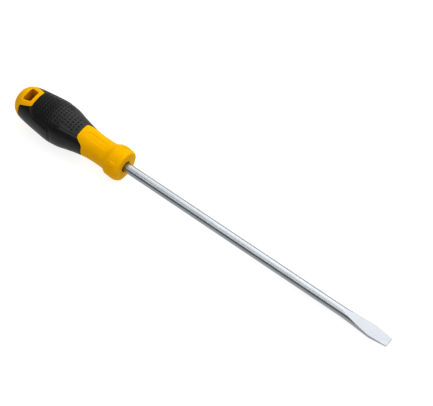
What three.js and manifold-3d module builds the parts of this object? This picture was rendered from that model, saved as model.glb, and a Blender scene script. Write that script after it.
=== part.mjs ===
// A fixed-blade slotted screwdriver, 8 x 250 mm, in millimetres.
// The tool lies along X with its tip towards +X. The top, dimpled face of the handle looks to +Z.
// The origin is the middle of the blade's flat end face. Inside the group, s is measured along the
// tool from the front face of the handle's collar, so the tip is at s = BLADE_REACH.

import * as THREE from 'three';
import * as BufferGeometryUtils from 'three/addons/utils/BufferGeometryUtils.js';
import Module from 'manifold-3d';

const wasm = await Module();
wasm.setup();

// ---- Driving dimensions ----

const BLADE_RADIUS = 4; // 8 mm rod
const BLADE_REACH = 250; // collar face to tip
const TIP_HALF_WIDTH = 4; // 8 mm slot width
const TIP_HALF_THICKNESS = 0.6; // 1.2 mm slot thickness
const FLARE_HALF_WIDTH = 5.55;
const FLARE_FROM_TIP = 14.5; // where the blade is widest
const FLARE_START_FROM_TIP = 46;
const FLATS_START_FROM_TIP = 42;

const TANG_END = -84;
const WING_LENGTH = 16;
const WING_CENTRE = -62;
const WING_HALF_SPAN = 6.5;
const WING_THICKNESS = 3;

const HANDLE_END = -109.2;
const DOME_START = -96;
const DOME_FULLNESS = 2.5; // 2 is an ellipse, more is blunter
const BUTT_START = -100; // just behind the soft grip
const GRIP_THICKNESS = 2.6;
const GAP = 0.3; // between pieces moulded against each other
const FLATNESS = 0.035; // how far the four faces of the grip lie inside its corners

const COLLAR_RADIUS = 13.5;
const COLLAR_END = -2.5;
const FACE_RADIUS = 12.2;
const MOUTH_RADIUS = 4.8; // shallow ring recess round the blade
const MOUTH_DEPTH = 1.2;

// Handle outline: [s, radius at the corners of the section].
const OUTLINE = [
  [-104, 13.9],
  [-90, 15.8],
  [-80, 17],
  [-69, 17.95],
  [-60, 17.2],
  [-50, 14.75],
  [-40, 12.55],
  [-30, 11.25],
  [-22, 11.05],
  [-17.3, 11.15],
  [-14, 12.15],
  [-11.3, 13.45],
  [-8.5, 13.6],
  [COLLAR_END, COLLAR_RADIUS],
];

// Flat chamfer on the collar's front edge: [s, radius].
const COLLAR_CHAMFER = [[-2, 13.4], [-0.4, 12.6], [0, FACE_RADIUS]];

// Edges of the soft grip: [degrees from the middle of the top or bottom face, s].
const GRIP_REAR_EDGE = [[30.5, -88.5], [50, -99.2], [90, -99.4]];
const GRIP_FRONT_EDGE = [[29, -43.5], [37, -42.6], [53, -37.8], [61, -36.9], [90, -36.7]];

// Core outline: [s, radius].
const CORE_OUTLINE = [[-26, 7.4], [-40, 7.8], [-56, 10.8], [-74, 10.8], [-86, 8.6]];

// Hang hole: a ring segment right through the butt, a little wider towards its end.
const HOLE_FRONT = -92.2;
const HOLE_REAR = -99.8;
const HOLE_FRONT_HALF_WIDTH = 5.1;
const HOLE_REAR_HALF_WIDTH = 6.4;
const HOLE_CORNER = 1.6;

// Lugs on the collar stop the tool rolling off a bench.
const LUG_ANGLES = [45, 135, 225, 315];
const LUG_CENTRE = -6.4;
const LUG_LENGTH = 5.8;
const LUG_WIDTH = 3.7;
const LUG_HEIGHT = 0.8;

// Thumb recess on each side of the neck.
const RECESS_DEPTH = 0.6;
const RECESS_HALF_ANGLE = 29;
const RECESS_REAR = -29.5;
const RECESS_FRONT = -13.5;

const SEGMENTS = 48; // facets round the handle
const GRIP_STEPS = 10; // facets along the grip

// ---- Small maths ----

const degrees = (angle) => (angle * Math.PI) / 180;

const blend = (from, to, share) => from + (to - from) * share;

// 0 below low, 1 above high, smooth between.
const ramp = (low, high, value) => THREE.MathUtils.smoothstep(value, low, high);

// A straight line through [x, y] points, level beyond its ends.
function alongPoints(points, x) {
  if (x <= points[0][0]) return points[0][1];
  for (let i = 1; i < points.length; i += 1) {
    const [x0, y0] = points[i - 1];
    const [x1, y1] = points[i];
    if (x <= x1) return blend(y0, y1, (x - x0) / (x1 - x0));
  }
  return points[points.length - 1][1];
}

// The slope of the outline at one of its points, level at a peak, a dip or a straight run.
function slopeAt(points, i) {
  if (i === 0 || i === points.length - 1) return 0;
  const before = (points[i][1] - points[i - 1][1]) / (points[i][0] - points[i - 1][0]);
  const after = (points[i + 1][1] - points[i][1]) / (points[i + 1][0] - points[i][0]);
  return before * after <= 0 ? 0 : (2 * before * after) / (before + after);
}

// A smooth curve through [x, y] points that doesn't overshoot them.
function smoothAlong(points, x) {
  let i = 0;
  while (i < points.length - 2 && x > points[i + 1][0]) i += 1;
  const [x0, y0] = points[i];
  const [x1, y1] = points[i + 1];
  const width = x1 - x0;
  const t = THREE.MathUtils.clamp((x - x0) / width, 0, 1);
  const bend0 = slopeAt(points, i) * width;
  const bend1 = slopeAt(points, i + 1) * width;
  const rise = y1 - y0;
  return y0 + bend0 * t + (3 * rise - 2 * bend0 - bend1) * t * t + (bend0 + bend1 - 2 * rise) * t * t * t;
}

// Degrees from the middle of the nearer of the top and bottom faces, 0 to 90.
function fromFace(angle) {
  const turn = Math.abs((((angle + 180) % 360) + 360) % 360 - 180);
  return Math.min(turn, 180 - turn);
}

// ---- The handle's outer surface ----

const gripRear = (angle) => alongPoints(GRIP_REAR_EDGE, fromFace(angle));
const gripFront = (angle) => alongPoints(GRIP_FRONT_EDGE, fromFace(angle));

function sideRecess(s, angle) {
  const fromSide = 90 - fromFace(angle);
  const across = 1 - ramp(RECESS_HALF_ANGLE - 6, RECESS_HALF_ANGLE, fromSide);
  const along = ramp(RECESS_REAR, RECESS_REAR + 4, s) * (1 - ramp(RECESS_FRONT - 3, RECESS_FRONT, s));
  return RECESS_DEPTH * across * along;
}

// Radius of the finished handle at s, at an angle round it from the top.
function handleRadius(s, angle) {
  const dome = THREE.MathUtils.clamp((DOME_START - s) / (DOME_START - HANDLE_END), 0, 1);
  const closing = Math.sqrt(1 - dome ** DOME_FULLNESS);
  const flat = FLATNESS * ramp(HANDLE_END, -80, s) * (1 - ramp(-34, -18, s));
  const section = 1 - flat * Math.cos(degrees(2 * angle)) ** 2;
  return smoothAlong(OUTLINE, s) * closing * section - sideRecess(s, angle);
}

// ---- Building closed skins from rings ----

// Joins rings of [x, y, z] points into faces. Each four-sided face is split along its shorter diagonal.
function bandFaces(rings, pairs) {
  const count = rings[0].length;
  const indices = [];
  const gapBetween = ([i, j], [k, l]) => {
    const [from, to] = [rings[i][j], rings[k][l]];
    return Math.hypot(from[0] - to[0], from[1] - to[1], from[2] - to[2]);
  };
  const index = ([i, j]) => i * count + j;
  for (const [here, there] of pairs) {
    for (let j = 0; j < count; j += 1) {
      const next = (j + 1) % count;
      const [a, b, c, d] = [[here, j], [here, next], [there, next], [there, j]];
      const split = gapBetween(a, c) <= gapBetween(b, d) ? [a, b, c, a, c, d] : [a, b, d, b, c, d];
      indices.push(...split.map(index));
    }
  }
  return indices;
}

// A skin over rings of points, closed by a flat fan on its first and last ring.
function skin(rings) {
  const count = rings[0].length;
  const end = rings.length - 1;
  const middle = (ring) => ring.reduce((sum, point) => sum.map((v, k) => v + point[k] / count), [0, 0, 0]);
  const positions = [...rings.flat(2), ...middle(rings[0]), ...middle(rings[end])];
  const indices = bandFaces(rings, rings.slice(1).map((_, i) => [i, i + 1]));
  const firstMiddle = rings.length * count;
  for (let j = 0; j < count; j += 1) {
    const next = (j + 1) % count;
    indices.push(firstMiddle, next, j);
    indices.push(firstMiddle + 1, end * count + j, end * count + next);
  }
  return triangles(positions, indices);
}

// A band closed on itself along its length, such as the grip: its last ring joins its first.
function loopedSkin(rings) {
  return triangles(rings.flat(2), bandFaces(rings, rings.map((_, i) => [i, (i + 1) % rings.length])));
}

function triangles(positions, indices) {
  const geometry = new THREE.BufferGeometry();
  geometry.setAttribute('position', new THREE.Float32BufferAttribute(positions, 3));
  geometry.setIndex(indices);
  return geometry;
}

// One ring of points round the tool's axis. place(angle) gives [s, radius].
function ringOf(place, count = SEGMENTS) {
  return Array.from({ length: count }, (_, j) => {
    const angle = (j * 360) / count;
    const [s, radius] = place(angle);
    return [s, -radius * Math.sin(degrees(angle)), radius * Math.cos(degrees(angle))];
  });
}

// ---- Joining and cutting ----

function toSolid(geometry) {
  const bare = geometry.clone();
  bare.deleteAttribute('normal');
  bare.deleteAttribute('uv');
  const merged = BufferGeometryUtils.mergeVertices(bare, 1e-4);
  return new wasm.Manifold(new wasm.Mesh({
    numProp: 3,
    vertProperties: Float32Array.from(merged.attributes.position.array),
    triVerts: Uint32Array.from(merged.index.array),
  }));
}

function toGeometry(solid) {
  const mesh = solid.getMesh();
  return triangles(Array.from(mesh.vertProperties), Array.from(mesh.triVerts));
}

// ---- Blade: rod, flared slotted tip, and a tang with two wings ----

// One ring of the blade: a round rod of half-width w, ground flat above and below at half-thickness h.
function bladeRing(s, halfWidth, halfThickness) {
  const perFlat = 6;
  const perSide = 6;
  const flatEdge = degrees(Math.max(30, (Math.acos(Math.min(halfThickness / halfWidth, 1)) * 180) / Math.PI));
  const spans = [
    [-flatEdge, flatEdge, perFlat],
    [flatEdge, Math.PI - flatEdge, perSide],
    [Math.PI - flatEdge, Math.PI + flatEdge, perFlat],
    [Math.PI + flatEdge, 2 * Math.PI - flatEdge, perSide],
  ];
  const points = [];
  for (const [from, to, steps] of spans) {
    for (let i = 0; i < steps; i += 1) {
      const angle = blend(from, to, i / steps);
      const radius = Math.min(halfWidth, halfThickness / Math.abs(Math.cos(angle)));
      points.push([s, -radius * Math.sin(angle), radius * Math.cos(angle)]);
    }
  }
  return points;
}

// Half-width of the blade: a straight taper behind the tip, then a curve into the rod.
function bladeHalfWidth(fromTip) {
  const curve = [
    [FLARE_FROM_TIP, FLARE_HALF_WIDTH],
    [23.5, 5.05],
    [33, 4.4],
    [FLARE_START_FROM_TIP, BLADE_RADIUS],
  ];
  if (fromTip < FLARE_FROM_TIP) return blend(TIP_HALF_WIDTH, FLARE_HALF_WIDTH, fromTip / FLARE_FROM_TIP);
  return smoothAlong(curve, fromTip);
}

// Half-thickness of the blade, which is ground to a plain wedge.
function bladeHalfThickness(fromTip) {
  return alongPoints([[0, TIP_HALF_THICKNESS], [FLATS_START_FROM_TIP, BLADE_RADIUS]], fromTip);
}

function makeBlade() {
  const chamfer = 0.8;
  const rings = [
    bladeRing(TANG_END, BLADE_RADIUS - chamfer, BLADE_RADIUS - chamfer),
    bladeRing(TANG_END + chamfer, BLADE_RADIUS, BLADE_RADIUS),
  ];
  const between = [38, 33, 28, 23.5, 20, 17];
  for (const distance of [FLARE_START_FROM_TIP, FLATS_START_FROM_TIP, ...between, FLARE_FROM_TIP, 10, 5, 0]) {
    rings.push(bladeRing(BLADE_REACH - distance, bladeHalfWidth(distance), bladeHalfThickness(distance)));
  }
  const wing = new THREE.BoxGeometry(WING_LENGTH, 2 * WING_HALF_SPAN, WING_THICKNESS);
  wing.translate(WING_CENTRE, 0, 0);
  return toGeometry(toSolid(skin(rings)).add(toSolid(wing)));
}

// ---- Inner core: a plain plug moulded on the tang ----

function makeCore() {
  const [frontS, frontRadius] = CORE_OUTLINE[0];
  const [rearS, rearRadius] = CORE_OUTLINE[CORE_OUTLINE.length - 1];
  const bore = BLADE_RADIUS + GAP;
  const boreEnd = TANG_END - GAP;
  const profile = [
    [rearS, 0],
    [rearS, rearRadius - 1],
    [rearS + 1, rearRadius],
    ...CORE_OUTLINE.slice(1, -1).reverse(),
    [frontS - 1, frontRadius],
    [frontS, frontRadius - 1],
    [frontS, bore],
    [boreEnd, bore],
    [boreEnd, 0],
  ];
  const plug = turned(profile, 32);
  const wingRoom = new THREE.BoxGeometry(
    WING_LENGTH + 2 * GAP,
    2 * (WING_HALF_SPAN + GAP),
    WING_THICKNESS + 2 * GAP,
  );
  wingRoom.translate(WING_CENTRE, 0, 0);
  return toGeometry(toSolid(plug).subtract(toSolid(wingRoom)));
}

// A turned piece along X from [s, radius] points that start and end on the axis.
function turned(profile, segments) {
  const points = profile.map(([s, radius]) => new THREE.Vector2(radius, s));
  const lathe = new THREE.LatheGeometry(points, segments);
  lathe.rotateZ(-Math.PI / 2);
  return lathe;
}

// ---- Handle body: butt, neck and collar, stepped down under the grip ----

function makeHandleBody() {
  const rings = [];
  const outer = (place) => rings.push(ringOf((angle) => [place(angle), handleRadius(place(angle), angle)]));
  const under = (place) => rings.push(ringOf((angle) => {
    const s = place(angle);
    return [s, handleRadius(s, angle) - GRIP_THICKNESS - GAP];
  }));
  const round = (s, radius) => rings.push(ringOf(() => [s, radius]));

  for (const share of [0.005, 0.06, 0.17, 0.36, 0.64, 1]) outer(() => blend(HANDLE_END, BUTT_START, share));
  const rearStep = (angle) => gripRear(angle) - GAP / 2;
  const frontStep = (angle) => gripFront(angle) + GAP / 2;
  for (const share of [0.5, 1]) outer((angle) => blend(BUTT_START, rearStep(angle), share));
  for (let i = 0; i <= GRIP_STEPS; i += 1) {
    under((angle) => blend(rearStep(angle), frontStep(angle), i / GRIP_STEPS));
  }
  const neckEnd = -30;
  for (const share of [0, 0.5, 1]) outer((angle) => blend(frontStep(angle), neckEnd, share));
  for (const s of [-27, -23, -19, -17, -15.5, -14, -12.6, -11.3, -8.5, COLLAR_END]) outer(() => s);

  // Front chamfer, flat face, ring recess, then the bore and the room for the core.
  for (const [s, radius] of COLLAR_CHAMFER) round(s, radius);
  round(0, MOUTH_RADIUS);
  round(-MOUTH_DEPTH, MOUTH_RADIUS);
  round(-MOUTH_DEPTH, BLADE_RADIUS + GAP);
  const [coreFront, coreFrontRadius] = CORE_OUTLINE[0];
  round(coreFront + GAP, BLADE_RADIUS + GAP);
  round(coreFront + GAP, coreFrontRadius + GAP);
  for (const [s, radius] of CORE_OUTLINE.slice(1, -1)) round(s, radius + GAP);
  const [coreRear, coreRearRadius] = CORE_OUTLINE[CORE_OUTLINE.length - 1];
  round(coreRear - GAP, coreRearRadius + GAP);

  let body = toSolid(skin(rings));
  for (const angle of LUG_ANGLES) body = body.add(toSolid(makeLug(angle)));
  return toGeometry(body.subtract(toSolid(makeHangHole())));
}

// A rounded pad lying along the tool, at an angle round the collar.
function makeLug(angle) {
  const end = LUG_WIDTH / 2;
  const straight = LUG_LENGTH / 2 - end;
  const pad = new THREE.Shape();
  pad.absarc(straight, 0, end, -Math.PI / 2, Math.PI / 2);
  pad.absarc(-straight, 0, end, Math.PI / 2, (3 * Math.PI) / 2);
  const root = 2;
  const depth = root + LUG_HEIGHT;
  const lug = new THREE.ExtrudeGeometry(pad, { depth, bevelEnabled: false, curveSegments: 6 });
  lug.translate(LUG_CENTRE, 0, COLLAR_RADIUS - root);
  lug.rotateX(degrees(angle));
  return lug;
}

function makeHangHole() {
  const corner = HOLE_CORNER;
  const outline = new THREE.Shape();
  const corners = [
    [HOLE_FRONT, -HOLE_FRONT_HALF_WIDTH],
    [HOLE_FRONT, HOLE_FRONT_HALF_WIDTH],
    [HOLE_REAR, HOLE_REAR_HALF_WIDTH],
    [HOLE_REAR, -HOLE_REAR_HALF_WIDTH],
  ];
  corners.forEach(([x, y], i) => {
    const at = new THREE.Vector2(x, y);
    const before = new THREE.Vector2(...corners[(i + 3) % 4]).sub(at).setLength(corner).add(at);
    const after = new THREE.Vector2(...corners[(i + 1) % 4]).sub(at).setLength(corner).add(at);
    if (i === 0) outline.moveTo(before.x, before.y);
    else outline.lineTo(before.x, before.y);
    outline.quadraticCurveTo(x, y, after.x, after.y);
  });
  const depth = 50;
  const hole = new THREE.ExtrudeGeometry(outline, { depth, bevelEnabled: false, curveSegments: 4 });
  hole.translate(0, 0, -depth / 2);
  return hole;
}

// ---- Soft grip: one ring of even thickness between the butt and the neck ----

function makeGrip() {
  const rim = 0.5; // small chamfer along both edges
  const rings = [];
  const ringAt = (share, inset, depth) => rings.push(ringOf((angle) => {
    const s = blend(gripRear(angle) + GAP / 2 + inset, gripFront(angle) - GAP / 2 - inset, share);
    return [s, handleRadius(s, angle) - depth];
  }));
  for (let i = 0; i <= GRIP_STEPS; i += 1) ringAt(i / GRIP_STEPS, rim, 0);
  ringAt(1, 0, rim);
  for (let i = GRIP_STEPS; i >= 0; i -= 1) ringAt(i / GRIP_STEPS, 0, GRIP_THICKNESS);
  ringAt(0, 0, rim);
  return loopedSkin(rings);
}

// ---- Assembly ----

function piece(name, geometry, color, roughness, metalness = 0) {
  const mesh = new THREE.Mesh(geometry, new THREE.MeshStandardMaterial({ color, roughness, metalness }));
  mesh.name = name;
  return mesh;
}

const group = new THREE.Group();
group.add(
  piece('blade', makeBlade(), 0xc9ced3, 0.25, 1),
  piece('inner_core', makeCore(), 0xd8d2c4, 0.6),
  piece('handle_body', makeHandleBody(), 0xf5b400, 0.4),
  piece('soft_grip', makeGrip(), 0x202124, 0.65),
);
group.position.x = -BLADE_REACH;

export default group;
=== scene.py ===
"""The looks of a slotted screwdriver: moulded two-colour handle, plated blade, pale studio floor.

The tool lies along X with its tip at the origin, as in the CAD frame. Shapes are worked out in
millimetres, in s, the distance along the tool from the front face of the collar, and in degrees
round it from the middle of the top face. Blade, handle body and soft grip are fine meshes that
stand for the CAD nodes of the same names.
"""

import math

import bmesh
import bpy
import numpy as np
from mathutils import Matrix, Vector


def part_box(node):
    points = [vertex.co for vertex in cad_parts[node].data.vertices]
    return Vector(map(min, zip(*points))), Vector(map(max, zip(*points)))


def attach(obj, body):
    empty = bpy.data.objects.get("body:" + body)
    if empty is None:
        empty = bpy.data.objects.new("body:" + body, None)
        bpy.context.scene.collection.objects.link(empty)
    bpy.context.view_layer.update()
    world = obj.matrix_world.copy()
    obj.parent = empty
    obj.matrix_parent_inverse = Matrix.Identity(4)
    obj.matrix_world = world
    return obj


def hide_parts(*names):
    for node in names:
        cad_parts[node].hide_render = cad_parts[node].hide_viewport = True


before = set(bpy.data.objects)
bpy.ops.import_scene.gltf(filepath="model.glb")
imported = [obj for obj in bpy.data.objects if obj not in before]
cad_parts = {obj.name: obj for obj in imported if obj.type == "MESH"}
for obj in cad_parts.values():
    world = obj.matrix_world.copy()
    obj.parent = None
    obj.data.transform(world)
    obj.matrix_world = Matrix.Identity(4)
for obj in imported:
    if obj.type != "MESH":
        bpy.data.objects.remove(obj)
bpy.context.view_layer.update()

# ---- Driving dimensions, in millimetres ----

MM = 0.001
COLLAR_FACE_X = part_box("handle_body")[1].x / MM
HANDLE_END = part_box("handle_body")[0].x / MM - COLLAR_FACE_X
REACH = -COLLAR_FACE_X  # collar face to tip
TANG_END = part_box("blade")[0].x / MM - COLLAR_FACE_X

DOME_START = -96.0
DOME_FULLNESS = 2.5
BUTT_START = -100.0  # just behind the soft grip
GRIP_THICKNESS = 2.6
GRIP_GAP = 0.16  # between the yellow plastic and the rubber
FLATNESS = 0.035  # how far the four faces of the grip lie inside its corners

COLLAR_END = -2.5
COLLAR_RADIUS = 13.5
# Handle outline: (s, radius at the corners of the section).
OUTLINE = [
    (-104, 13.9), (-90, 15.8), (-80, 17), (-69, 17.95), (-60, 17.2), (-50, 14.75), (-40, 12.55),
    (-30, 11.25), (-22, 11.05), (-17.3, 11.15), (-14, 12.15), (-11.3, 13.45), (-8.5, 13.6),
    (COLLAR_END, COLLAR_RADIUS),
]
# The collar's front edge: (s, radius).
COLLAR_CHAMFER = [
    (-2.3, 13.47), (-2.05, 13.4), (-1.7, 13.25), (-0.55, 12.68), (-0.3, 12.53), (-0.1, 12.35), (0, 12.05),
]
MOUTH_RADIUS = 4.75  # shallow ring recess round the blade
MOUTH_DEPTH = 1.2
BORE_RADIUS = 4.15
# Core outline: (s, radius).
CORE_OUTLINE = [(-26, 7.4), (-40, 7.8), (-56, 10.8), (-74, 10.8), (-86, 8.6)]
CORE_GAP = 0.3

# Edges of the soft grip: (degrees from the middle of the top or bottom face, s).
GRIP_REAR_EDGE = [(0, -88.5), (29, -88.5), (32, -89.0), (48, -98.6), (51, -99.3), (90, -99.5)]
GRIP_FRONT_EDGE = [
    (0, -43.5), (26, -43.55), (31, -43.35), (35, -42.8), (50, -38.6), (55, -37.5), (60, -37.0),
    (68, -36.8), (90, -36.7),
]

# Lines that part the grip into a dimpled panel and smooth side panels: (s, degrees).
DIMPLED_REAR_LINE = [(-88.8, 31), (-85.5, 49), (-82.5, 56), (-66.7, 60)]
DIMPLED_FRONT_LINE = [(-66.7, 60), (-64.0, 47), (-61.5, 36.5), (-58.5, 33), (-43.5, 29.5)]
SIDE_SEAM = [(-66.7, 60), (-65.7, 66), (-65.3, 80), (-65, 90)]
PANEL_CREASE = [(-60.4, 39), (-63.2, 51)]

GROOVE_DEPTH = 0.6  # between the panels of the grip
DIMPLED_LEVEL = 0.3  # how far each panel lies below the plain handle
REAR_LEVEL = 0.1
BEVEL_WIDTH = 1.9  # round the raised front panel
CREASE_DEPTH = 0.3
GRIP_EDGE_DROP = 0.45  # where the grip's border is rounded
GRIP_EDGE_ROUND = 0.6

DIMPLE_PITCH = 2.95
DIMPLE_RINGS = 14
DIMPLE_FIRST_S = -46.8
DIMPLE_FLOOR = 0.38  # half-width at the floor
DIMPLE_MOUTH = 0.78  # half-width at the surface
DIMPLE_DEPTH = 0.6
DIMPLE_MARGIN = 1.5

HOLE_FRONT = -92.2
HOLE_REAR = -99.8
HOLE_FRONT_HALF_WIDTH = 5.1
HOLE_REAR_HALF_WIDTH = 6.4
HOLE_CORNER = 1.6
HOLE_RIM = 0.9  # width of the rounded rim
HOLE_RIM_DEPTH = 0.8

BODY_EDGE_DROP = 0.35  # where the yellow border is rounded
BODY_EDGE_ROUND = 0.45
NECK_PANEL_DEPTH = 0.4
SIDE_RECESS_DEPTH = 0.6

LUG_ANGLES = (45, 135, 225, 315)
LUG_CENTRE = -6.4
LUG_LENGTH = 5.8
LUG_WIDTH = 3.7
LUG_HEIGHT = 0.75
LUG_CORNER = 1.2

TIP_HALF_WIDTH = 4.0
TIP_HALF_THICKNESS = 0.6
BLADE_RADIUS = 4.0
FLARE_FROM_TIP = 14.5  # where the blade is widest
FLATS_START_FROM_TIP = 42
# Half-width of the blade behind its widest point: (distance from the tip, size).
FLARE = [(FLARE_FROM_TIP, 5.55), (23.5, 5.05), (33, 4.4), (46, BLADE_RADIUS)]
WING_CENTRE = -62.0
WING_LENGTH = 16.0
WING_HALF_SPAN = 6.5
WING_THICKNESS = 3.0

# ---- View, in degrees and millimetres ----

VIEW_AZIMUTH = 37.221
VIEW_ELEVATION = 59.082
VIEW_ROLL = 0.434
DISTANCE = 1380.5
LENS = 149.65
AIM = (-171.4, 13.82, 7.1)

# Soft boxes, in metres and watts: name, place from the middle of the tool, size, power.
LIGHTS = [
    ("back_box", (0.12, 1.45, 0.95), (2.2, 1.55), 18.5),
    ("right_back_box", (1.5, 0.8, 0.9), (1.0, 1.2), 2),
    ("top_box", (0.12, 0.28, 1.75), (2.2, 1.5), 14.5),
    ("front_box", (0.1, -0.88, 1.48), (2.0, 0.75), 7.3),
]
WORLD_STRENGTH = 0.24
FLOOR_GLOW = 0.57


# ---- Small maths, all on numpy arrays ----

def ramp(low, high, value):
    """0 below low, 1 above high, smooth between."""
    t = np.clip((value - low) / (high - low), 0, 1)
    return t * t * (3 - 2 * t)


def smooth_curve(points, x):
    """A curve through (x, y) points that doesn't overshoot them, level at its ends."""
    xs, ys = np.array(points, float).T
    steps = np.diff(ys) / np.diff(xs)
    slopes = np.zeros(len(xs))
    before, after = steps[:-1], steps[1:]
    same_way = before * after > 0
    total = np.where(same_way, before + after, 1)
    slopes[1:-1] = np.where(same_way, 2 * before * after / total, 0)
    i = np.clip(np.searchsorted(xs, x) - 1, 0, len(xs) - 2)
    width = xs[i + 1] - xs[i]
    t = np.clip((x - xs[i]) / width, 0, 1)
    rise = ys[i + 1] - ys[i]
    bend0, bend1 = slopes[i] * width, slopes[i + 1] * width
    return ys[i] + bend0 * t + (3 * rise - 2 * bend0 - bend1) * t**2 + (bend0 + bend1 - 2 * rise) * t**3


def from_face(angle):
    """Degrees from the middle of the nearer of the top and bottom faces, 0 to 90."""
    turn = np.abs((angle + 180) % 360 - 180)
    return np.minimum(turn, 180 - turn)


def line_distance(x, y, line):
    """Distance from each point to a line through (x, y) corners."""
    best = np.full(np.shape(x), np.inf)
    for (x0, y0), (x1, y1) in zip(line[:-1], line[1:]):
        dx, dy = x1 - x0, y1 - y0
        t = np.clip(((x - x0) * dx + (y - y0) * dy) / (dx * dx + dy * dy), 0, 1)
        best = np.minimum(best, np.hypot(x - x0 - t * dx, y - y0 - t * dy))
    return best


def inside_distance(x, y, corners):
    """Distance to the edge of a closed outline: above 0 inside it, below 0 outside."""
    inside = np.zeros(np.shape(x), bool)
    for (x0, y0), (x1, y1) in zip(corners, corners[1:] + corners[:1]):
        if y0 != y1:
            crosses = ((y0 > y) != (y1 > y)) & (x < (x1 - x0) * (y - y0) / (y1 - y0) + x0)
            inside ^= crosses
    away = line_distance(x, y, corners + corners[:1])
    return np.where(inside, away, -away)


def fillet(distance, size):
    """0 at and beyond size, falling along a quarter circle to 1 at distance 0."""
    t = np.clip(distance / size, 0, 1)
    return 1 - np.sqrt(1 - (1 - t) ** 2)


# ---- The handle's surface ----

def outline_radius(s):
    return smooth_curve(OUTLINE, s)


def plain_radius(s, angle):
    """Radius of the handle without its fine relief."""
    dome = np.clip((DOME_START - s) / (DOME_START - HANDLE_END), 0, 1)
    closing = np.sqrt(1 - dome**DOME_FULLNESS)
    flat = FLATNESS * ramp(HANDLE_END, -80, s) * (1 - ramp(-34, -18, s))
    section = 1 - flat * np.cos(np.radians(2 * angle)) ** 2
    return outline_radius(s) * closing * section


def around(s, degrees):
    """Millimetres round the surface for degrees from the middle of a face."""
    return np.radians(degrees) * outline_radius(s)


def laid_out(points):
    """Corners given as (s, degrees) turned into (s, millimetres round), with points added between."""
    s, degrees = np.array(points, float).T
    steps = np.linspace(0, len(points) - 1, 4 * (len(points) - 1) + 1)
    s = np.interp(steps, range(len(points)), s)
    degrees = np.interp(steps, range(len(points)), degrees)
    return list(zip(s, around(s, degrees)))


def grip_rear(angle):
    return np.interp(from_face(angle), *np.array(GRIP_REAR_EDGE).T)


def grip_front(angle):
    return np.interp(from_face(angle), *np.array(GRIP_FRONT_EDGE).T)


def grip_edge_distance(s, angle):
    rear = [(e, a) for a, e in GRIP_REAR_EDGE]
    front = [(e, a) for a, e in GRIP_FRONT_EDGE]
    v = around(s, from_face(angle))
    return np.minimum(line_distance(s, v, laid_out(rear)), line_distance(s, v, laid_out(front)))


DIMPLED_PANEL = laid_out(
    [(-104, -31), (-104, 31)] + DIMPLED_REAR_LINE + DIMPLED_FRONT_LINE[1:] + [(-30, 29.5), (-30, -31)]
)
REAR_PANEL = laid_out([(-108, 31)] + DIMPLED_REAR_LINE + SIDE_SEAM[1:] + [(-65, 120), (-108, 120)])
FRONT_PANEL = laid_out(DIMPLED_FRONT_LINE + [(-30, 29.5), (-30, 120), (-65, 120)] + SIDE_SEAM[:0:-1])


def dimples(s, v):
    """Depth of the small square dimples, in a grid of rings and rows."""
    ring = np.clip(np.round((DIMPLE_FIRST_S - s) / DIMPLE_PITCH), 0, DIMPLE_RINGS - 1)
    row = np.round(v / DIMPLE_PITCH)
    s_middle = DIMPLE_FIRST_S - ring * DIMPLE_PITCH
    v_middle = row * DIMPLE_PITCH
    off = (np.abs(s - s_middle) ** 3 + np.abs(v - v_middle) ** 3) ** (1 / 3)
    shape = 1 - ramp(DIMPLE_FLOOR, DIMPLE_MOUTH, off)
    kept = inside_distance(s_middle, v_middle, DIMPLED_PANEL) > DIMPLE_MARGIN
    return DIMPLE_DEPTH * shape * kept


def grip_relief(s, angle):
    """How far the grip's surface lies below the plain handle: panels, grooves, dimples and edges."""
    v = around(s, from_face(angle))
    dimpled = inside_distance(s, v, DIMPLED_PANEL)
    rear = inside_distance(s, v, REAR_PANEL)
    front = inside_distance(s, v, FRONT_PANEL)
    rimmed = DIMPLED_LEVEL * ramp(0.35, 0.95, dimpled)
    sunk_edge = GROOVE_DEPTH * ramp(-0.1, 0.45, rear) - (GROOVE_DEPTH - REAR_LEVEL) * ramp(0.45, 1.7, rear)
    bevel = GROOVE_DEPTH * ramp(-0.1, 0.35, front) * (1 - np.clip(front / BEVEL_WIDTH, 0, 1))
    side = np.where(rear > front, sunk_edge, bevel)
    depth = np.where(dimpled > 0, rimmed, side)
    crease = line_distance(s, v, laid_out(PANEL_CREASE))
    depth = depth + CREASE_DEPTH * (1 - ramp(0.1, 0.6, crease))
    depth = depth + dimples(s, v)
    return depth + GRIP_EDGE_DROP * fillet(grip_edge_distance(s, angle), GRIP_EDGE_ROUND)


def hole_outline(inset):
    """The hang hole's outline as (s, y) corners with rounded corners, drawn in by inset."""
    front, rear = HOLE_FRONT - inset, HOLE_REAR + inset
    wide_front, wide_rear = HOLE_FRONT_HALF_WIDTH - inset, HOLE_REAR_HALF_WIDTH - inset
    corners = [(front, -wide_front), (front, wide_front), (rear, wide_rear), (rear, -wide_rear)]
    points = []
    for i, corner in enumerate(corners):
        at = np.array(corner)
        before = np.array(corners[i - 1]) - at
        after = np.array(corners[(i + 1) % 4]) - at
        start = at + before / np.linalg.norm(before) * HOLE_CORNER
        end = at + after / np.linalg.norm(after) * HOLE_CORNER
        for t in np.linspace(0, 1, 9):
            points.append(tuple((1 - t) ** 2 * start + 2 * t * (1 - t) * at + t**2 * end))
    return points


NECK_PANEL = laid_out([(-39.2, -7), (-39.2, 7), (-36.4, 15.5), (-18.6, 15.5), (-18.6, -15.5), (-36.4, -15.5)])
SIDE_RECESS = laid_out([(-30, 110), (-30, 73), (-27, 62), (-14.5, 59.5), (-13.5, 74), (-13.5, 110)])


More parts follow.
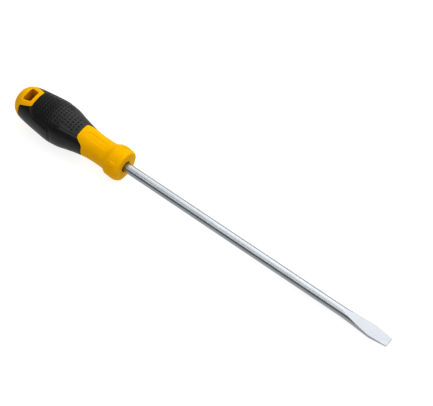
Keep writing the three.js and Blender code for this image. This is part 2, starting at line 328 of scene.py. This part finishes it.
def body_relief(s, angle):
    """How far the yellow surface lies below the plain handle."""
    turned = from_face(angle)
    v = around(s, turned)
    depth = BODY_EDGE_DROP * fillet(grip_edge_distance(s, angle), BODY_EDGE_ROUND)
    depth = depth + NECK_PANEL_DEPTH * ramp(-0.1, 0.35, inside_distance(s, v, NECK_PANEL))
    depth = depth + SIDE_RECESS_DEPTH * ramp(-0.2, 1.6, inside_distance(s, v, SIDE_RECESS))
    y = plain_radius(s, angle) * np.sin(np.radians(turned))
    rim = -inside_distance(s, y, hole_outline(0))
    top_or_bottom = turned < 60
    depth = depth + HOLE_RIM_DEPTH * (1 - ramp(-0.2, HOLE_RIM, rim)) * top_or_bottom
    for lug in LUG_ANGLES:
        off = (angle - lug + 180) % 360 - 180
        across = np.radians(off) * COLLAR_RADIUS
        past_length = np.maximum(np.abs(s - LUG_CENTRE) - LUG_LENGTH / 2 + LUG_CORNER, 0)
        past_width = np.maximum(np.abs(across) - LUG_WIDTH / 2 + LUG_CORNER, 0)
        away = np.hypot(past_length, past_width) - LUG_CORNER
        crown = 0.85 * ramp(0.1, -0.3, away) + 0.15 * ramp(0.1, -LUG_CORNER, away)
        depth = depth - LUG_HEIGHT * crown
    return depth


# ---- Meshes from rings ----

def ring_points(s, radius, angles):
    """Points in metres, in the CAD frame, from arrays of s, radius and degrees round the tool."""
    turn = np.radians(angles)
    s, radius = np.broadcast_arrays(s, radius)
    return np.stack([(s - REACH) * MM, -radius * np.sin(turn) * MM, radius * np.cos(turn) * MM], -1)


def mesh_from_rings(name, rings, looped=False, smooth_angle=50):
    """A closed mesh over rings of points. A looped one joins its last ring to its first."""
    rings = np.array(rings)
    rows, count = rings.shape[:2]
    index = np.arange(rows * count).reshape(rows, count)
    here = index if looped else index[:-1]
    there = np.roll(index, -1, axis=0) if looped else index[1:]
    faces = np.stack([here, np.roll(here, -1, axis=1), np.roll(there, -1, axis=1), there], -1)
    faces = faces.reshape(-1, 4).tolist()
    points = rings.reshape(-1, 3)
    if not looped:
        points = np.vstack([points, rings[0].mean(axis=0), rings[-1].mean(axis=0)])
        first, last = rows * count, rows * count + 1
        after = np.roll(np.arange(count), -1)
        faces += np.stack([np.full(count, first), after, np.arange(count)], -1).tolist()
        faces += np.stack([np.full(count, last), index[-1], index[-1][after]], -1).tolist()
    mesh = bpy.data.meshes.new(name)
    mesh.from_pydata(points.tolist(), [], faces)
    finish_mesh(mesh, smooth_angle)
    piece = bpy.data.objects.new(name, mesh)
    bpy.context.scene.collection.objects.link(piece)
    return piece


def finish_mesh(mesh, smooth_angle):
    mesh.validate()
    mesh.shade_smooth()
    mesh.set_sharp_from_angle(angle=math.radians(smooth_angle))


# ---- Blade ----

def blade_section(half_width, half_thickness):
    """Angles and radii of one ring: a round rod ground flat above and below."""
    edge = math.acos(min(half_thickness / half_width, 1))
    rod_edge = math.radians(30)  # where the flats start on the round rod
    edge = max(edge, rod_edge)
    per_flat, per_side = 28, 20
    spans = [
        (-edge, edge, per_flat),
        (edge, math.pi - edge, per_side),
        (math.pi - edge, math.pi + edge, per_flat),
        (math.pi + edge, 2 * math.pi - edge, per_side),
    ]
    angles = np.concatenate([np.linspace(a, b, n, endpoint=False) for a, b, n in spans])
    radius = np.minimum(half_width, half_thickness / np.maximum(np.abs(np.cos(angles)), 1e-6))
    return np.degrees(angles), radius


def blade_half_width(distance):
    """A straight taper behind the tip, then a curve into the rod."""
    if distance < FLARE_FROM_TIP:
        return TIP_HALF_WIDTH + (FLARE[0][1] - TIP_HALF_WIDTH) * distance / FLARE_FROM_TIP
    return float(smooth_curve(FLARE, distance))


def blade_half_thickness(distance):
    """The blade is ground to a plain wedge."""
    share = min(distance / FLATS_START_FROM_TIP, 1)
    return TIP_HALF_THICKNESS + (BLADE_RADIUS - TIP_HALF_THICKNESS) * share


def make_blade():
    rings = []

    def add(s, half_width, half_thickness):
        angles, radius = blade_section(half_width, half_thickness)
        rings.append(ring_points(s, radius, angles))

    chamfer = 0.8
    shaped_from_tip = 46.5
    tip_edge = 0.25
    add(TANG_END, BLADE_RADIUS - chamfer, BLADE_RADIUS - chamfer)
    add(TANG_END + chamfer, BLADE_RADIUS, BLADE_RADIUS)
    for s in np.linspace(0, REACH - shaped_from_tip - 0.5, 12):
        add(s, BLADE_RADIUS, BLADE_RADIUS)
    for distance in np.linspace(shaped_from_tip, tip_edge, 140):
        add(REACH - distance, blade_half_width(distance), blade_half_thickness(distance))
    add(REACH, TIP_HALF_WIDTH - 0.12, TIP_HALF_THICKNESS - 0.1)
    blade = mesh_from_rings("blade_steel_rod", rings, smooth_angle=28)
    join_tang_wings(blade)
    return blade


def join_tang_wings(blade):
    """Joins on the flattened part of the tang, which the handle hides."""
    half = Vector((WING_LENGTH / 2, WING_HALF_SPAN, WING_THICKNESS / 2)) * MM
    centre = Vector((WING_CENTRE - REACH, 0, 0)) * MM
    wings = bmesh.new()
    placed = Matrix.Translation(centre) @ Matrix.Diagonal(half).to_4x4()
    bmesh.ops.create_cube(wings, size=2.0, matrix=placed)
    mesh = bpy.data.meshes.new("tang_wings")
    wings.to_mesh(mesh)
    wings.free()
    tang_wings = bpy.data.objects.new("tang_wings", mesh)
    bpy.context.scene.collection.objects.link(tang_wings)
    combine(blade, tang_wings, "UNION", 28)


def combine(piece, other, operation, smooth_angle):
    """Joins another closed solid to a piece, or cuts it away, and removes it."""
    step = piece.modifiers.new(other.name, "BOOLEAN")
    step.operation = operation
    step.solver = "MANIFOLD"
    step.object = other
    bpy.context.view_layer.update()
    evaluated = piece.evaluated_get(bpy.context.evaluated_depsgraph_get())
    mesh = bpy.data.meshes.new_from_object(evaluated)
    piece.modifiers.clear()
    piece.data = mesh
    finish_mesh(mesh, smooth_angle)
    bpy.data.objects.remove(other)


# ---- Handle body ----

def make_handle_body():
    columns = 320
    angles = np.arange(columns) * 360 / columns
    rings = []

    def outer(s):
        s = np.broadcast_to(s, angles.shape)
        rings.append(ring_points(s, plain_radius(s, angles) - body_relief(s, angles), angles))

    def under(s):
        radius = plain_radius(s, angles) - GRIP_THICKNESS - GRIP_GAP
        rings.append(ring_points(s, radius, angles))

    def plain(s, radius):
        rings.append(ring_points(np.full(angles.shape, float(s)), radius, angles))

    butt = BUTT_START - HANDLE_END
    for turn in np.linspace(3, 90, 30):
        outer(HANDLE_END + butt * (1 - math.cos(math.radians(turn))))
    rear = grip_rear(angles) - GRIP_GAP / 2
    front = grip_front(angles) + GRIP_GAP / 2
    crowding = 1.2  # rings lie closer together near the grip
    for share in 1 - (1 - np.linspace(0.02, 1, 44)) ** crowding:
        outer(BUTT_START + (rear - BUTT_START) * share)
    for share in np.linspace(0, 1, 12):
        under(rear + (front - rear) * share)
    neck_end = -32.0
    crowding = 1.3
    for share in np.linspace(0, 1, 36) ** crowding:
        outer(front + (neck_end - front) * share)
    for s in np.linspace(neck_end, COLLAR_END, 105)[1:]:
        outer(s)

    for s, radius in COLLAR_CHAMFER:
        plain(s, radius)
    for radius in (10, 8, 6.2):
        plain(0, radius)
    lip = 0.3
    for turn in np.linspace(0, 90, 5):
        s = -lip + lip * math.cos(math.radians(turn))
        plain(s, MOUTH_RADIUS + lip - lip * math.sin(math.radians(turn)))
    plain(-MOUTH_DEPTH, MOUTH_RADIUS)
    plain(-MOUTH_DEPTH, BORE_RADIUS)
    core_front, core_front_radius = CORE_OUTLINE[0]
    core_rear, core_rear_radius = CORE_OUTLINE[-1]
    plain(core_front + CORE_GAP, BORE_RADIUS)
    plain(core_front + CORE_GAP, core_front_radius + CORE_GAP)
    for s, radius in CORE_OUTLINE[1:-1]:
        plain(s, radius + CORE_GAP)
    plain(core_rear - CORE_GAP, core_rear_radius + CORE_GAP)

    body = mesh_from_rings("handle_shell", rings)
    cut_hang_hole(body)
    return body


def cut_hang_hole(body):
    """Cuts the hole right through, slightly narrower at its middle, as its two mould cores leave it."""
    draft = 0.5
    draft_end = 14
    reach = 20.0
    rings = []
    for z in np.linspace(-reach, reach, 9):
        points = np.array(hole_outline(draft * (1 - min(abs(z) / draft_end, 1))))
        ring = np.column_stack([(points[:, 0] - REACH) * MM, points[:, 1] * MM, np.full(len(points), z * MM)])
        rings.append(ring)
    cutter = mesh_from_rings("hole_cutter", rings)
    combine(body, cutter, "DIFFERENCE", 50)


# ---- Soft grip ----

def grip_columns():
    """Degrees of the grip's columns, closer together where its edges slant and few on its plain sides."""
    # Each span: first degree, last degree, columns.
    spans = [(0, 29, 29), (29, 50, 47), (50, 64, 14), (64, 90, 13)]
    quarter = np.concatenate([np.linspace(low, high, count, endpoint=False) for low, high, count in spans])
    half = np.concatenate([quarter, [90], 180 - quarter[:0:-1]])
    return np.concatenate([half, half + 180])


def make_grip():
    angles = grip_columns()
    rows = 224
    rear = grip_rear(angles) + GRIP_GAP / 2
    front = grip_front(angles) - GRIP_GAP / 2
    rings = []
    for share in np.linspace(0, 1, rows):
        s = rear + (front - rear) * share
        rings.append(ring_points(s, plain_radius(s, angles) - grip_relief(s, angles), angles))
    for share in np.linspace(1, 0, 12):
        s = rear + (front - rear) * share
        rings.append(ring_points(s, plain_radius(s, angles) - GRIP_THICKNESS, angles))
    return mesh_from_rings("grip_sleeve", rings, looped=True)


# ---- Materials ----

class Nodes:
    """A short way to build a node tree for one material."""

    def __init__(self, name):
        self.material = bpy.data.materials.new(name)
        self.material.use_nodes = True
        self.tree = self.material.node_tree
        self.shader = self.tree.nodes["Principled BSDF"]
        self.place = self.add("ShaderNodeTexCoord").outputs["Object"]

    def add(self, kind, **settings):
        node = self.tree.nodes.new(kind)
        for key, value in settings.items():
            setattr(node, key, value)
        return node

    def link(self, output, node, socket):
        self.tree.links.new(output, node.inputs[socket])

    def set(self, **values):
        for key, value in values.items():
            self.shader.inputs[key.replace("_", " ")].default_value = value

    def noise(self, per_mm, detail=3.0, stretch=(1, 1, 1), roughness=0.5):
        """Noise with about per_mm features in each millimetre, drawn out along stretch."""
        mapping = self.add("ShaderNodeMapping")
        mapping.inputs["Scale"].default_value = tuple(per_mm / MM / k for k in stretch)
        self.link(self.place, mapping, "Vector")
        noise = self.add("ShaderNodeTexNoise")
        noise.inputs["Scale"].default_value = 1.0
        noise.inputs["Detail"].default_value = detail
        noise.inputs["Roughness"].default_value = roughness
        self.link(mapping.outputs["Vector"], noise, "Vector")
        return noise.outputs["Fac"]

    def ramp(self, value, low, high, to_low, to_high):
        """Maps value from low..high to to_low..to_high."""
        node = self.add("ShaderNodeMapRange")
        sockets = ("From Min", "From Max", "To Min", "To Max")
        for socket, number in zip(sockets, (low, high, to_low, to_high)):
            node.inputs[socket].default_value = number
        self.link(value, node, "Value")
        return node.outputs["Result"]

    def math(self, operation, value, other):
        """A sum, product or the like of a socket with a number or another socket."""
        node = self.add("ShaderNodeMath", operation=operation)
        self.link(value, node, 0)
        if isinstance(other, (int, float)):
            node.inputs[1].default_value = other
        else:
            self.link(other, node, 1)
        return node.outputs["Value"]

    def colours(self, value, first, second):
        """Mixes two colours by value."""
        self.mix = self.add("ShaderNodeMix", data_type="RGBA")
        self.link(value, self.mix, 0)
        self.mix.inputs[6].default_value = (*first, 1)
        self.mix.inputs[7].default_value = (*second, 1)
        self.link(self.mix.outputs[2], self.shader, "Base Color")

    def paint_shade(self, value, colour):
        """Turns the base colour to a darker, painted shade colour where value is 1."""
        shade_mix = self.add("ShaderNodeMix", data_type="RGBA")
        self.link(value, shade_mix, 0)
        self.link(self.mix.outputs[2], shade_mix, 6)
        shade_mix.inputs[7].default_value = (*colour, 1)
        self.link(shade_mix.outputs[2], self.shader, "Base Color")

    def bump(self, *layers):
        """Stacks (height, depth in millimetres) layers on the shader's normal."""
        before = None
        for height, depth in layers:
            node = self.add("ShaderNodeBump")
            node.inputs["Strength"].default_value = 1.0
            node.inputs["Distance"].default_value = depth * MM
            self.link(height, node, "Height")
            if before:
                self.link(before.outputs["Normal"], node, "Normal")
            before = node
        self.link(before.outputs["Normal"], self.shader, "Normal")


def hole_shade_mask(n):
    """Mask for painted shade in the hang hole: 1 deep inside it, fading to 0 at its mouths and on the outside
    of the handle.
    """
    parts = n.add("ShaderNodeSeparateXYZ")
    n.link(n.place, parts, "Vector")
    middle = ((HOLE_FRONT + HOLE_REAR) / 2 - REACH) * MM
    half_length = (HOLE_FRONT - HOLE_REAR) / 2 * MM
    half_width = HOLE_REAR_HALF_WIDTH * MM
    near_edge, far_edge = 0.2 * MM, 0.5 * MM
    deep, mouth = 1.0 * MM, 12.5 * MM
    along = n.math("SUBTRACT", parts.outputs["X"], middle)
    offsets = [
        (along, half_length + near_edge, half_length + far_edge),
        (parts.outputs["Y"], half_width + near_edge, half_width + far_edge),
        (parts.outputs["Z"], deep, mouth),
    ]
    inside = None
    for offset, low, high in offsets:
        near = n.ramp(n.math("MAXIMUM", offset, n.math("MULTIPLY", offset, -1.0)), low, high, 1, 0)
        inside = n.math("MULTIPLY", near, inside) if inside else near
    return inside


def yellow_plastic():
    n = Nodes("yellow_moulded_plastic")
    cloud = n.noise(0.05, detail=2)
    grain = n.noise(3.0, detail=2)
    n.colours(n.ramp(cloud, 0.3, 0.7, 0, 1), (0.66, 0.365, 0.001), (0.69, 0.385, 0.0014))
    # Painted shade: the yellow turns darker deep in the hang hole, standing in for the shade inside it.
    n.paint_shade(hole_shade_mask(n), (0.52, 0.23, 0.0006))
    n.link(n.ramp(grain, 0.3, 0.7, 0.36, 0.46), n.shader, "Roughness")
    n.set(Specular_IOR_Level=0.06, Specular_Tint=(1.0, 0.75, 0.08, 1.0))
    n.bump((n.noise(0.25, detail=1), 0.05), (grain, 0.006))
    return n.material


def black_rubber():
    n = Nodes("black_moulded_rubber")
    cloud = n.noise(0.08, detail=3)
    grain = n.noise(5.0, detail=3)
    n.colours(n.ramp(cloud, 0.3, 0.7, 0, 1), (0.005, 0.005, 0.0053), (0.008, 0.008, 0.0085))
    n.link(n.ramp(grain, 0.3, 0.7, 0.36, 0.46), n.shader, "Roughness")
    n.set(Specular_IOR_Level=0.45)
    n.bump((n.noise(0.6, detail=2), 0.02), (grain, 0.01))
    return n.material


def plated_steel():
    n = Nodes("satin_plated_steel")
    drawn = n.noise(6.0, detail=3, stretch=(60, 1, 1))
    cloud = n.noise(0.06, detail=3)
    n.colours(n.ramp(cloud, 0.3, 0.7, 0, 1), (0.33, 0.345, 0.362), (0.355, 0.37, 0.387))
    n.link(n.ramp(drawn, 0.3, 0.7, 0.27, 0.31), n.shader, "Roughness")
    n.set(Metallic=1.0)
    n.bump((drawn, 0.0003))
    return n.material


def core_plastic():
    n = Nodes("natural_core_plastic")
    cloud = n.noise(0.1, detail=2)
    grain = n.noise(2.0, detail=2)
    n.colours(n.ramp(cloud, 0.3, 0.7, 0, 1), (0.62, 0.57, 0.46), (0.70, 0.65, 0.54))
    n.link(n.ramp(grain, 0.3, 0.7, 0.5, 0.65), n.shader, "Roughness")
    n.bump((grain, 0.02))
    return n.material


# ---- Stage ----

def make_floor():
    """A pale floor that the belly of the handle and the blade just touch."""
    belly = Vector((COLLAR_FACE_X - 67.0, 0, -17.2))
    blade = Vector((-45.0, 0, -BLADE_RADIUS))
    slope = math.atan2(blade.z - belly.z, blade.x - belly.x)
    gap = Vector((0, 0, -0.3))
    size = 4.0
    mesh = bpy.data.meshes.new("floor")
    corners = [(-size, -size, 0), (size, -size, 0), (size, size, 0), (-size, size, 0)]
    mesh.from_pydata(corners, [], [(0, 1, 2, 3)])
    floor = bpy.data.objects.new("floor", mesh)
    floor.matrix_world = Matrix.Translation((belly + gap) * MM) @ Matrix.Rotation(-slope, 4, "Y")
    bpy.context.scene.collection.objects.link(floor)
    n = Nodes("pale_floor")
    n.colours(n.noise(0.02, detail=1), (0.21, 0.21, 0.21), (0.23, 0.23, 0.23))
    n.set(Roughness=0.9, Specular_IOR_Level=0.0)
    n.set(Emission_Color=(1, 1, 1, 1), Emission_Strength=FLOOR_GLOW)
    mesh.materials.append(n.material)


def make_camera():
    """A long lens from above the tip side, turned a little so that the tool runs down to the right."""
    azimuth, elevation, roll = (math.radians(a) for a in (VIEW_AZIMUTH, VIEW_ELEVATION, VIEW_ROLL))
    towards = Vector((
        math.sin(azimuth) * math.cos(elevation),
        -math.cos(azimuth) * math.cos(elevation),
        math.sin(elevation),
    ))
    right = Vector((0, 0, 1)).cross(towards).normalized()
    up = towards.cross(right)
    turned_right = right * math.cos(roll) + up * math.sin(roll)
    turned_up = up * math.cos(roll) - right * math.sin(roll)
    data = bpy.data.cameras.new("camera")
    data.lens = LENS
    data.sensor_width = 36
    data.clip_end = 20
    camera = bpy.data.objects.new("camera", data)
    turn = Matrix((turned_right, turned_up, towards)).transposed().to_4x4()
    camera.matrix_world = Matrix.Translation(Vector(AIM) * MM + towards * DISTANCE * MM) @ turn
    bpy.context.scene.collection.objects.link(camera)
    bpy.context.scene.camera = camera


def soft_light(name, place, target, size, power):
    data = bpy.data.lights.new(name, "AREA")
    data.shape = "RECTANGLE"
    data.size, data.size_y = size
    data.energy = power
    light = bpy.data.objects.new(name, data)
    light.location = place
    light.rotation_euler = (target - place).to_track_quat("-Z", "Y").to_euler()
    bpy.context.scene.collection.objects.link(light)


def make_world(strength):
    world = bpy.data.worlds.new("studio")
    world.use_nodes = True
    back = world.node_tree.nodes["Background"]
    back.inputs["Color"].default_value = (1, 1, 1, 1)
    back.inputs["Strength"].default_value = strength
    bpy.context.scene.world = world


# ---- Build ----

make_floor()
make_camera()
middle = Vector((-0.2, 0, 0))
for name, offset, size, power in LIGHTS:
    soft_light(name, middle + Vector(offset), middle, size, power)
make_world(WORLD_STRENGTH)
bpy.context.scene.view_settings.view_transform = "Standard"
bpy.context.scene.view_settings.look = "High Contrast"

steel = plated_steel()
yellow = yellow_plastic()
rubber = black_rubber()
for piece, node, slot, material in (
    (make_blade(), "blade", "blade_steel", steel),
    (make_handle_body(), "handle_body", "handle_plastic", yellow),
    (make_grip(), "soft_grip", "grip_rubber", rubber),
):
    piece.data.materials.clear()
    piece.data.materials.append(material)
    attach(piece, "root")
    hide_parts(node)

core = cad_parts["inner_core"]
core.data.materials.clear()
core.data.materials.append(core_plastic())
